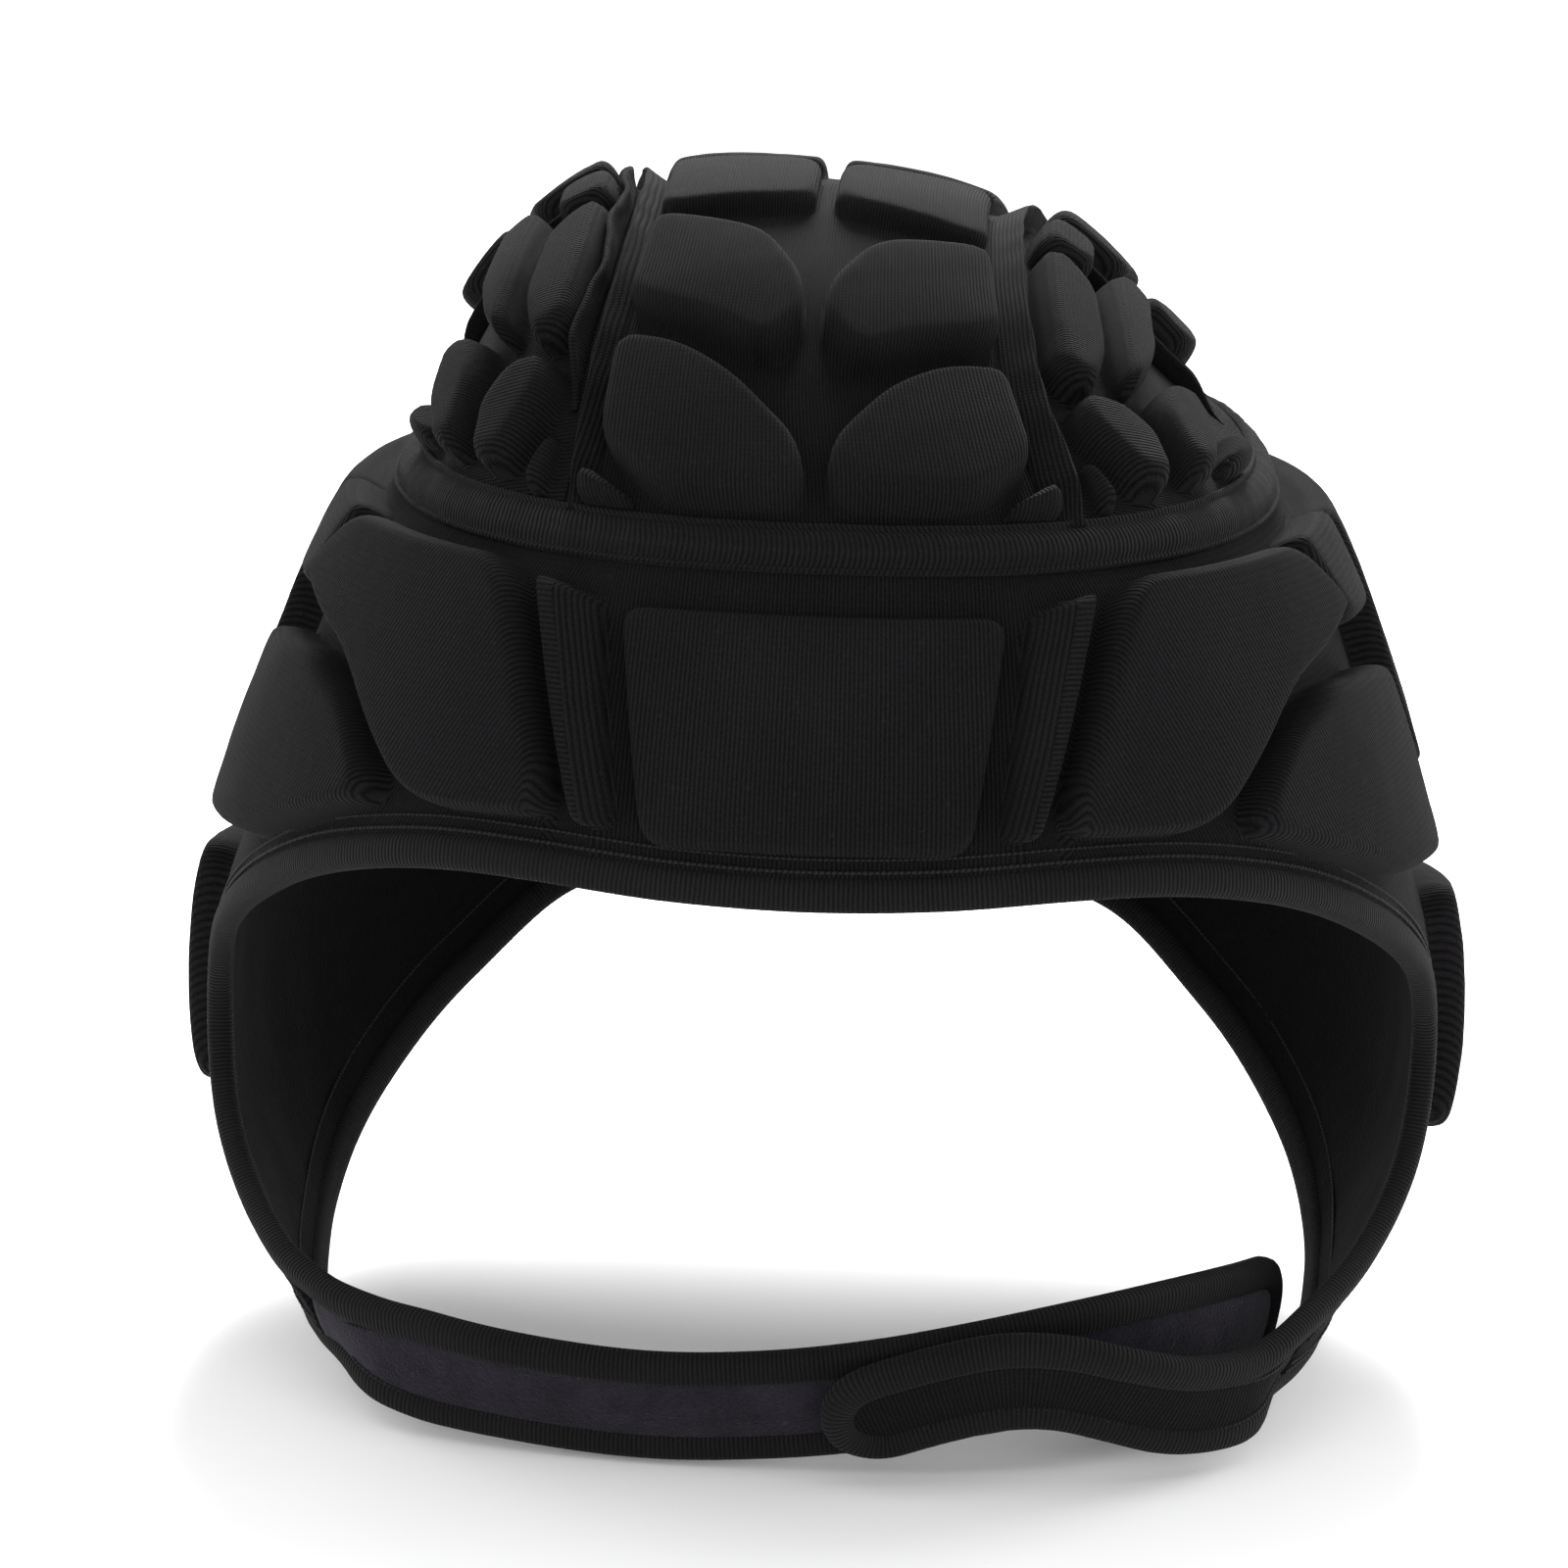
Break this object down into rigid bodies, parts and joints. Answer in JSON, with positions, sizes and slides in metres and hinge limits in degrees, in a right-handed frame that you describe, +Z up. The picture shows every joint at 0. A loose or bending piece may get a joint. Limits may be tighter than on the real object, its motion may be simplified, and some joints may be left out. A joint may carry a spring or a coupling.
{
  "type": "soccer goalkeeper head guard",
  "caption": "Soft padded knit head guard with a moulded pad pattern on crown, brow and temples, ear flaps, ribbed edge binding and a hook-and-loop chin strap.",
  "frame": {"origin": "the inside of the top of the cap, where the wearer's head touches it, on the cap's upright middle line", "axes": "+Z up through the top of the cap; the face looks along -Y; +X is the viewer's right"},
  "size_m": [0.2142, 0.2002, 0.1943],
  "materials": {
    "knit": "black ribbed knit",
    "pad_knit": "black ribbed knit drawn over moulded foam",
    "binding": "black ribbed binding tape",
    "loop_face": "black loop velvet",
    "tab_face": "black smooth coated knit"
  },
  "bodies": {
    "root": {"crown_center_panel": "knit", "crown_side_panel_left": "knit", "crown_side_panel_right": "knit", "band_panel": "knit", "forehead_pad": "pad_knit", "crown_pad_1_left": "pad_knit", "crown_pad_2_left": "pad_knit", "crown_pad_3_left": "pad_knit", "crown_pad_4_left": "pad_knit", "crown_pad_5_left": "pad_knit", "crown_corner_pad_left": "pad_knit", "side_pad_1_left": "pad_knit", "side_pad_2_left": "pad_knit", "side_pad_3_left": "pad_knit", "side_pad_4_left": "pad_knit", "side_pad_5_left": "pad_knit", "side_pad_6_left": "pad_knit", "side_pad_7_left": "pad_knit", "rear_side_pad_1_left": "pad_knit", "rear_side_pad_2_left": "pad_knit", "rear_side_pad_3_left": "pad_knit", "brow_strip_pad_left": "pad_knit", "temple_pad_left": "pad_knit", "cheek_pad_left": "pad_knit", "upper_side_pad_left": "pad_knit", "ear_pad_left": "pad_knit", "rear_band_pad_left": "pad_knit", "nape_pad_left": "pad_knit", "crown_pad_1_right": "pad_knit", "crown_pad_2_right": "pad_knit", "crown_pad_3_right": "pad_knit", "crown_pad_4_right": "pad_knit", "crown_pad_5_right": "pad_knit", "crown_corner_pad_right": "pad_knit", "side_pad_1_right": "pad_knit", "side_pad_2_right": "pad_knit", "side_pad_3_right": "pad_knit", "side_pad_4_right": "pad_knit", "side_pad_5_right": "pad_knit", "side_pad_6_right": "pad_knit", "side_pad_7_right": "pad_knit", "rear_side_pad_1_right": "pad_knit", "rear_side_pad_2_right": "pad_knit", "rear_side_pad_3_right": "pad_knit", "brow_strip_pad_right": "pad_knit", "temple_pad_right": "pad_knit", "cheek_pad_right": "pad_knit", "upper_side_pad_right": "pad_knit", "ear_pad_right": "pad_knit", "rear_band_pad_right": "pad_knit", "nape_pad_right": "pad_knit", "crown_seam_tape": "binding", "center_seam_left": "binding", "center_seam_right": "binding", "rear_seam_left": "binding", "rear_seam_right": "binding", "face_binding": "binding", "neck_binding": "binding", "chin_strap_left": "loop_face", "chin_strap_right": "tab_face"}
  },
  "joints": []
}
